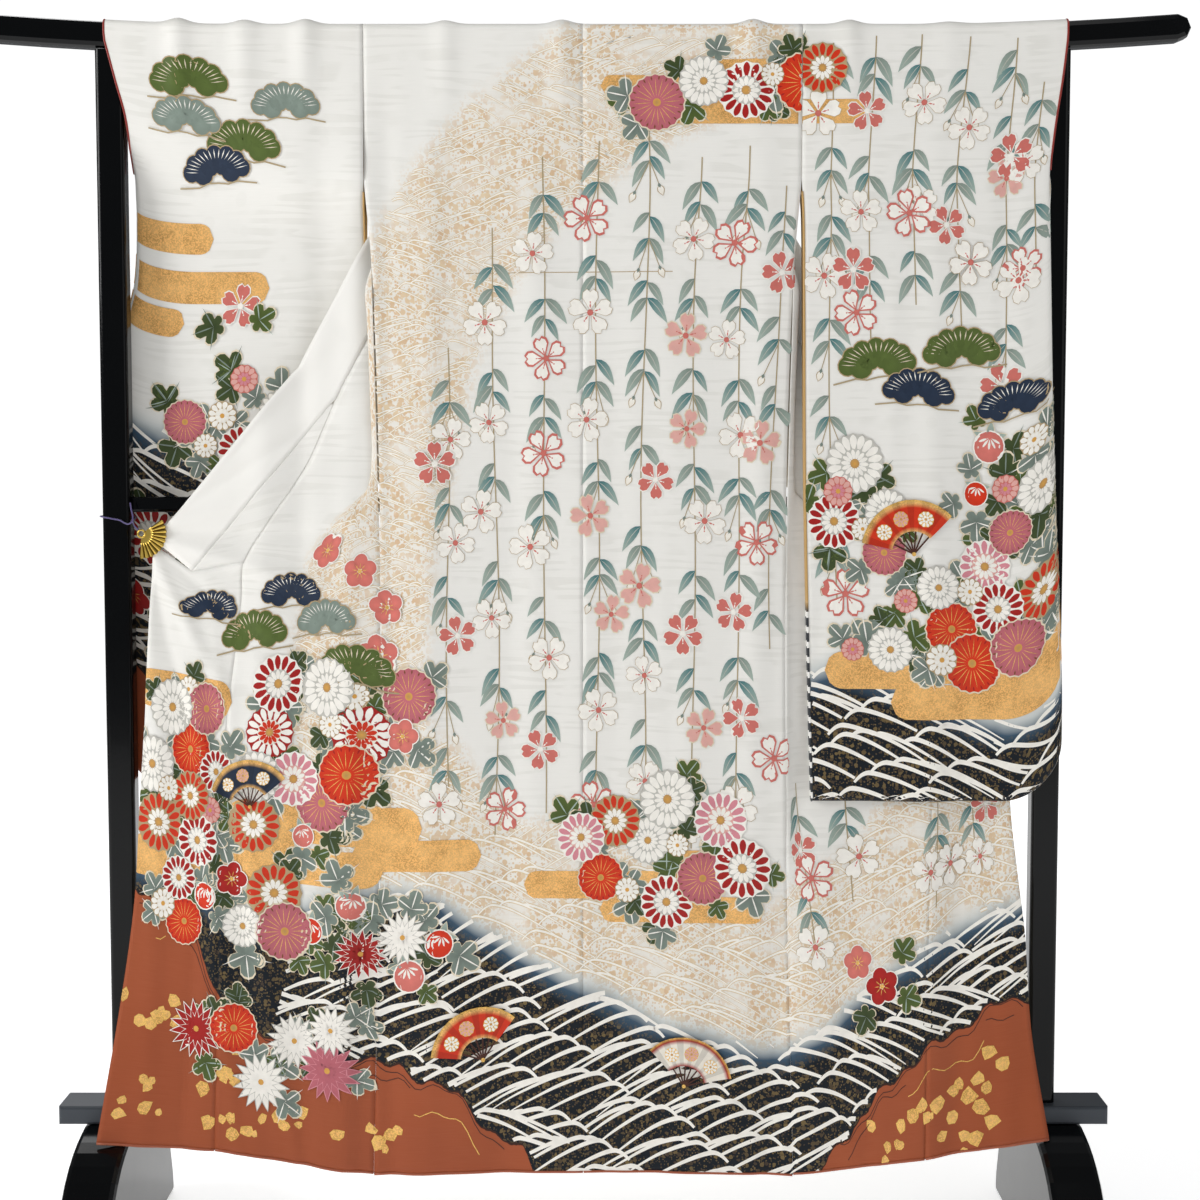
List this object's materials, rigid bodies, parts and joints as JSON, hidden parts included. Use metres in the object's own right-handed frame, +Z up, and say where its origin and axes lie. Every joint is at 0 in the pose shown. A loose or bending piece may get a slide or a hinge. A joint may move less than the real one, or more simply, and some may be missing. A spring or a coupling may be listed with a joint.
{
  "type": "furisode on kimono rack",
  "caption": "Long-sleeved formal kimono hung back outwards over a black lacquered kimono rack, one front drawn round to the side and held by a fan clip.",
  "frame": {"origin": "on the floor under the middle of the rack", "axes": "+Z up, +X to the right as the back of the garment is seen, +Y away from that side"},
  "size_m": [1.732, 0.46, 1.8026],
  "materials": {
    "satin": "printed silk satin with a soft sheen",
    "collar_silk": "plain cream silk satin",
    "lacquer": "black lacquer on wood",
    "board_paint": "dull slate-black paint",
    "gilt": "polished gilt",
    "cord": "thin twisted purple cord"
  },
  "bodies": {
    "root": {"back_left": "satin", "back_right": "satin", "front_left": "satin", "front_right": "satin", "okumi_left": "satin", "okumi_right": "satin", "sleeve_left": "satin", "sleeve_right": "satin", "collar": "collar_silk", "top_bar": "lacquer", "mid_rail": "lacquer", "post_left": "lacquer", "post_right": "lacquer", "foot_left": "lacquer", "foot_right": "lacquer", "bottom_board": "board_paint", "fan_clip": "gilt", "tie_cord": "cord"}
  },
  "joints": []
}
